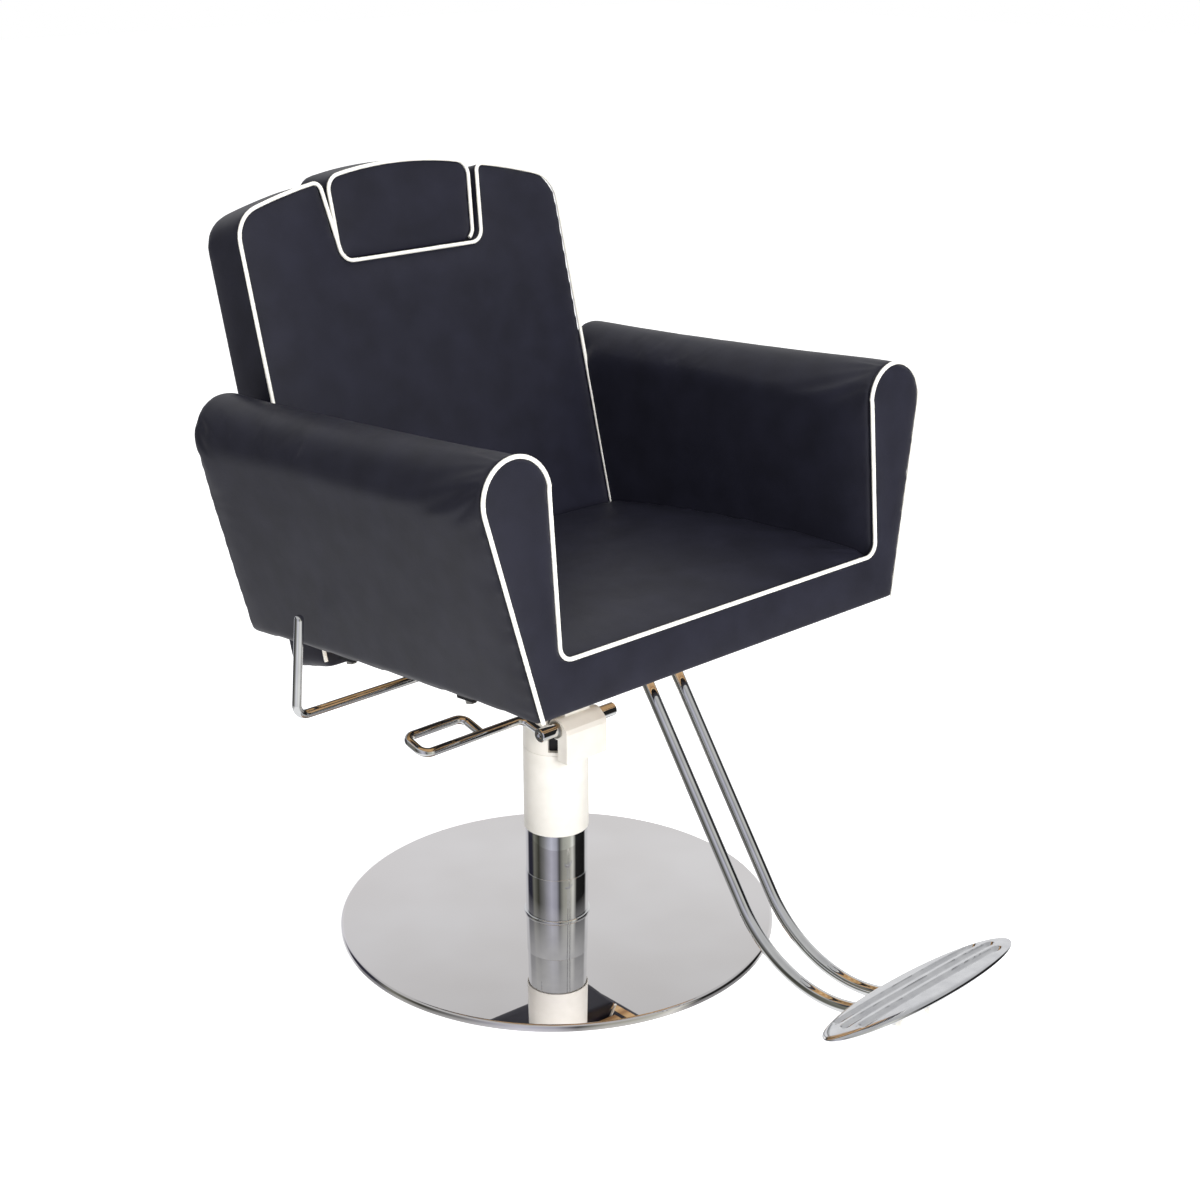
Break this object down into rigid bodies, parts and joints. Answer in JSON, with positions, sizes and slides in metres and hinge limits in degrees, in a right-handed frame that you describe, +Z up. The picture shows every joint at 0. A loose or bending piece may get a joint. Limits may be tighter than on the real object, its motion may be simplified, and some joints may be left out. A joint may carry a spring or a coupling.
{
  "type": "styling chair",
  "caption": "Padded salon chair with closed arms and a reclining back with a headrest, on a round pedestal base with a hydraulic column, a pump pedal and a T-bar footrest.",
  "frame": {"origin": "on the floor under the column's axis", "axes": "+Z up, the sitter faces -Y and +X is the sitter's left"},
  "size_m": [0.726, 1.0654, 1.0104],
  "materials": {
    "leatherette": "matte",
    "white_piping": "satin",
    "plywood": "matte",
    "mirror_steel": "polished",
    "chrome": "polished",
    "polished_aluminium": "polished",
    "cream_paint": "satin",
    "cream_plastic": "gloss",
    "black_steel": "satin",
    "zinc_steel": "satin",
    "rubber": "matte",
    "nylon": "satin",
    "bronze": "satin"
  },
  "bodies": {
    "base": {"floor_pad": "rubber", "base_plate": "black_steel", "base_cover": "mirror_steel", "column_bolts": "zinc_steel", "pump_cylinder": "black_steel", "cylinder_gland": "black_steel", "column_sleeve": "chrome", "sleeve_spacers": "nylon", "lower_sleeve": "chrome", "foot_ring": "chrome"},
    "lift": {"lift_rod": "chrome", "piston": "zinc_steel", "piston_seal": "rubber", "thrust_washer": "bronze"},
    "seat": {"column_cover": "cream_plastic", "pump_head": "cream_paint", "pedal_block": "cream_paint", "seat_hub": "black_steel", "swivel_bush": "bronze", "seat_frame": "black_steel", "mount_plate": "black_steel", "frame_bolts": "zinc_steel", "hinge_cheek_left": "black_steel", "hinge_cheek_right": "black_steel", "pivot_rod": "zinc_steel", "pivot_nuts": "zinc_steel", "seat_board": "plywood", "apron_rail": "plywood", "front_apron": "leatherette", "seat_cushion": "leatherette", "arm_pad_left": "leatherette", "arm_pad_right": "leatherette", "arm_core_left": "plywood", "arm_core_right": "plywood", "seat_piping": "white_piping", "footrest_tube_left": "chrome", "footrest_tube_right": "chrome", "footrest_bracket": "black_steel", "footrest_caps": "cream_plastic", "footrest_plate": "polished_aluminium", "footrest_lugs": "polished_aluminium"},
    "pedal": {"pedal_rod": "chrome", "pedal_shaft": "chrome", "pedal_circlips": "zinc_steel"},
    "lever": {"recline_lever": "chrome", "lever_collars": "zinc_steel", "lock_discs": "zinc_steel", "lever_spring": "zinc_steel"},
    "backrest": {"recline_plate_left": "black_steel", "recline_plate_right": "black_steel", "tail_bolts": "zinc_steel", "back_board": "plywood", "back_front_pad": "leatherette", "back_rear_pad": "leatherette", "back_piping": "white_piping", "headrest_guides": "black_steel"},
    "headrest": {"headrest_stems": "chrome", "headrest_board": "plywood", "headrest_pad": "leatherette", "headrest_piping": "white_piping"}
  },
  "joints": [
    {"name": "seat_lift", "type": "slide", "parent": "base", "child": "lift", "axis": [0, 0, 1], "range_m": [0, 0.12]},
    {"name": "seat_swivel", "type": "hinge", "parent": "lift", "child": "seat", "pos_m": [0, 0, 0.42], "axis": [0, 0, 1], "continuous": true},
    {"name": "pump_stroke", "type": "hinge", "parent": "seat", "child": "pedal", "pos_m": [0, -0.042, 0.307], "axis": [-1, 0, 0], "range_deg": [0, 26], "stiffness_Nm_per_rad": 2, "springref_deg": -22.92},
    {"name": "lever_pull", "type": "hinge", "parent": "seat", "child": "lever", "pos_m": [0, 0.101, 0.371], "axis": [-1, 0, 0], "range_deg": [0, 20], "stiffness_Nm_per_rad": 2, "springref_deg": -22.92},
    {"name": "back_recline", "type": "hinge", "parent": "seat", "child": "backrest", "pos_m": [0, 0.135, 0.43], "axis": [-1, 0, 0], "range_deg": [0, 30]},
    {"name": "headrest_height", "type": "slide", "parent": "backrest", "child": "headrest", "axis": [0, 0.2607, 0.9654], "range_m": [0, 0.1]}
  ]
}
